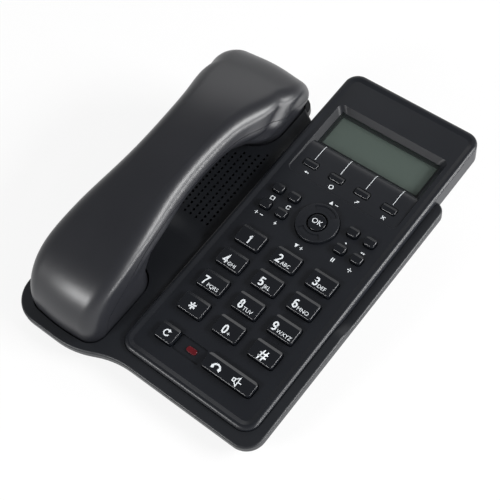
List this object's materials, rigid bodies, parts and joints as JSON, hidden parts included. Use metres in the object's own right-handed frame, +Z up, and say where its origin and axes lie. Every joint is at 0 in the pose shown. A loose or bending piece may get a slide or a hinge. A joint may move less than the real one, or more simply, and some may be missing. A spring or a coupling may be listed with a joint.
{
  "type": "corded telephone",
  "caption": "Desk telephone with a lift-off handset, tilted keypad panel, display head overhanging the back, speaker grille, hook switch and cord sockets, without cords",
  "frame": {"origin": "middle of the whole part's bounding box, on the table under the feet", "axes": "+Z up, +Y towards the display head at the back, +X to the right of someone using it"},
  "size_m": [0.1586, 0.225, 0.0747],
  "materials": {
    "handset_plastic": "satin moulded",
    "case_plastic": "satin moulded",
    "key_plastic": "gloss",
    "lens": "clear acrylic",
    "lcd": "grey green liquid crystal",
    "inner_plastic": "moulded",
    "foot_rubber": "matt",
    "mat_rubber": "matt",
    "board": "laminate",
    "steel": "plain",
    "led": "clear red"
  },
  "bodies": {
    "base": {"base_bottom_shell": "case_plastic", "base_screws": "steel", "base_top_shell": "case_plastic", "cord_socket": "inner_plastic", "display_lens": "lens", "faceplate": "case_plastic", "head_cover": "case_plastic", "hook_switch": "inner_plastic", "keypad_board": "board", "keypad_mat": "mat_rubber", "lcd_frame": "inner_plastic", "lcd_glass": "lcd", "line_socket": "inner_plastic", "main_board": "board", "rubber_feet": "foot_rubber", "speaker": "steel", "speaker_clamp": "inner_plastic", "speaker_grille": "case_plastic", "status_led": "led"},
    "handset": {"handset_lower_shell": "handset_plastic", "handset_screws": "steel", "handset_socket": "inner_plastic", "handset_upper_shell": "handset_plastic", "handset_weight": "steel", "receiver_capsule": "inner_plastic", "microphone": "inner_plastic"},
    "hook": {"hook_plunger": "case_plastic"},
    "nav_ring": {"nav_ring": "key_plastic"},
    "centre_key": {"centre_key": "key_plastic"},
    "function_key_1": {"function_key_1": "key_plastic"},
    "function_key_2": {"function_key_2": "key_plastic"},
    "function_key_3": {"function_key_3": "key_plastic"},
    "function_key_4": {"function_key_4": "key_plastic"},
    "function_key_5": {"function_key_5": "key_plastic"},
    "function_key_6": {"function_key_6": "key_plastic"},
    "function_key_7": {"function_key_7": "key_plastic"},
    "function_key_8": {"function_key_8": "key_plastic"},
    "handsfree_key": {"handsfree_key": "key_plastic"},
    "key_0": {"key_0": "key_plastic"},
    "key_1": {"key_1": "key_plastic"},
    "key_2": {"key_2": "key_plastic"},
    "key_3": {"key_3": "key_plastic"},
    "key_4": {"key_4": "key_plastic"},
    "key_5": {"key_5": "key_plastic"},
    "key_6": {"key_6": "key_plastic"},
    "key_7": {"key_7": "key_plastic"},
    "key_8": {"key_8": "key_plastic"},
    "key_9": {"key_9": "key_plastic"},
    "key_hash": {"key_hash": "key_plastic"},
    "key_star": {"key_star": "key_plastic"},
    "redial_key": {"redial_key": "key_plastic"},
    "soft_key_1": {"soft_key_1": "key_plastic"},
    "soft_key_2": {"soft_key_2": "key_plastic"},
    "soft_key_3": {"soft_key_3": "key_plastic"},
    "soft_key_4": {"soft_key_4": "key_plastic"}
  },
  "joints": [
    {"name": "handset_lift", "type": "slide", "parent": "base", "child": "handset", "axis": [0, -0.1803, 0.9836], "range_m": [0, 0.08]},
    {"name": "hook_rise", "type": "slide", "parent": "base", "child": "hook", "axis": [0, -0.1803, 0.9836], "range_m": [0, 0.004], "stiffness_N_per_m": 100, "springref_m": 0.006},
    {"name": "nav_ring_rock", "type": "hinge", "parent": "base", "child": "nav_ring", "pos_m": [0.02975, 0.01772, 0.03295], "axis": [1, 0, 0], "range_deg": [-3, 3], "stiffness_Nm_per_rad": 0.02},
    {"name": "centre_key_press", "type": "slide", "parent": "base", "child": "centre_key", "axis": [0, 0.1803, -0.9836], "range_m": [0, 0.0012], "stiffness_N_per_m": 400, "springref_m": -0.001},
    {"name": "function_key_1_press", "type": "slide", "parent": "base", "child": "function_key_1", "axis": [0, 0.1803, -0.9836], "range_m": [0, 0.0012], "stiffness_N_per_m": 400, "springref_m": -0.001},
    {"name": "function_key_2_press", "type": "slide", "parent": "base", "child": "function_key_2", "axis": [0, 0.1803, -0.9836], "range_m": [0, 0.0012], "stiffness_N_per_m": 400, "springref_m": -0.001},
    {"name": "function_key_3_press", "type": "slide", "parent": "base", "child": "function_key_3", "axis": [0, 0.1803, -0.9836], "range_m": [0, 0.0012], "stiffness_N_per_m": 400, "springref_m": -0.001},
    {"name": "function_key_4_press", "type": "slide", "parent": "base", "child": "function_key_4", "axis": [0, 0.1803, -0.9836], "range_m": [0, 0.0012], "stiffness_N_per_m": 400, "springref_m": -0.001},
    {"name": "function_key_5_press", "type": "slide", "parent": "base", "child": "function_key_5", "axis": [0, 0.1803, -0.9836], "range_m": [0, 0.0012], "stiffness_N_per_m": 400, "springref_m": -0.001},
    {"name": "function_key_6_press", "type": "slide", "parent": "base", "child": "function_key_6", "axis": [0, 0.1803, -0.9836], "range_m": [0, 0.0012], "stiffness_N_per_m": 400, "springref_m": -0.001},
    {"name": "function_key_7_press", "type": "slide", "parent": "base", "child": "function_key_7", "axis": [0, 0.1803, -0.9836], "range_m": [0, 0.0012], "stiffness_N_per_m": 400, "springref_m": -0.001},
    {"name": "function_key_8_press", "type": "slide", "parent": "base", "child": "function_key_8", "axis": [0, 0.1803, -0.9836], "range_m": [0, 0.0012], "stiffness_N_per_m": 400, "springref_m": -0.001},
    {"name": "handsfree_key_press", "type": "slide", "parent": "base", "child": "handsfree_key", "axis": [0, 0.1803, -0.9836], "range_m": [0, 0.0012], "stiffness_N_per_m": 400, "springref_m": -0.001},
    {"name": "key_0_press", "type": "slide", "parent": "base", "child": "key_0", "axis": [0, 0.1803, -0.9836], "range_m": [0, 0.0012], "stiffness_N_per_m": 400, "springref_m": -0.001},
    {"name": "key_1_press", "type": "slide", "parent": "base", "child": "key_1", "axis": [0, 0.1803, -0.9836], "range_m": [0, 0.0012], "stiffness_N_per_m": 400, "springref_m": -0.001},
    {"name": "key_2_press", "type": "slide", "parent": "base", "child": "key_2", "axis": [0, 0.1803, -0.9836], "range_m": [0, 0.0012], "stiffness_N_per_m": 400, "springref_m": -0.001},
    {"name": "key_3_press", "type": "slide", "parent": "base", "child": "key_3", "axis": [0, 0.1803, -0.9836], "range_m": [0, 0.0012], "stiffness_N_per_m": 400, "springref_m": -0.001},
    {"name": "key_4_press", "type": "slide", "parent": "base", "child": "key_4", "axis": [0, 0.1803, -0.9836], "range_m": [0, 0.0012], "stiffness_N_per_m": 400, "springref_m": -0.001},
    {"name": "key_5_press", "type": "slide", "parent": "base", "child": "key_5", "axis": [0, 0.1803, -0.9836], "range_m": [0, 0.0012], "stiffness_N_per_m": 400, "springref_m": -0.001},
    {"name": "key_6_press", "type": "slide", "parent": "base", "child": "key_6", "axis": [0, 0.1803, -0.9836], "range_m": [0, 0.0012], "stiffness_N_per_m": 400, "springref_m": -0.001},
    {"name": "key_7_press", "type": "slide", "parent": "base", "child": "key_7", "axis": [0, 0.1803, -0.9836], "range_m": [0, 0.0012], "stiffness_N_per_m": 400, "springref_m": -0.001},
    {"name": "key_8_press", "type": "slide", "parent": "base", "child": "key_8", "axis": [0, 0.1803, -0.9836], "range_m": [0, 0.0012], "stiffness_N_per_m": 400, "springref_m": -0.001},
    {"name": "key_9_press", "type": "slide", "parent": "base", "child": "key_9", "axis": [0, 0.1803, -0.9836], "range_m": [0, 0.0012], "stiffness_N_per_m": 400, "springref_m": -0.001},
    {"name": "key_hash_press", "type": "slide", "parent": "base", "child": "key_hash", "axis": [0, 0.1803, -0.9836], "range_m": [0, 0.0012], "stiffness_N_per_m": 400, "springref_m": -0.001},
    {"name": "key_star_press", "type": "slide", "parent": "base", "child": "key_star", "axis": [0, 0.1803, -0.9836], "range_m": [0, 0.0012], "stiffness_N_per_m": 400, "springref_m": -0.001},
    {"name": "redial_key_press", "type": "slide", "parent": "base", "child": "redial_key", "axis": [0, 0.1803, -0.9836], "range_m": [0, 0.0012], "stiffness_N_per_m": 400, "springref_m": -0.001},
    {"name": "soft_key_1_press", "type": "slide", "parent": "base", "child": "soft_key_1", "axis": [0, 0.1803, -0.9836], "range_m": [0, 0.0012], "stiffness_N_per_m": 400, "springref_m": -0.001},
    {"name": "soft_key_2_press", "type": "slide", "parent": "base", "child": "soft_key_2", "axis": [0, 0.1803, -0.9836], "range_m": [0, 0.0012], "stiffness_N_per_m": 400, "springref_m": -0.001},
    {"name": "soft_key_3_press", "type": "slide", "parent": "base", "child": "soft_key_3", "axis": [0, 0.1803, -0.9836], "range_m": [0, 0.0012], "stiffness_N_per_m": 400, "springref_m": -0.001},
    {"name": "soft_key_4_press", "type": "slide", "parent": "base", "child": "soft_key_4", "axis": [0, 0.1803, -0.9836], "range_m": [0, 0.0012], "stiffness_N_per_m": 400, "springref_m": -0.001}
  ],
  "couplings": [
    {"joint": "hook_rise", "follows": "handset_lift", "ratio": 0.05}
  ]
}
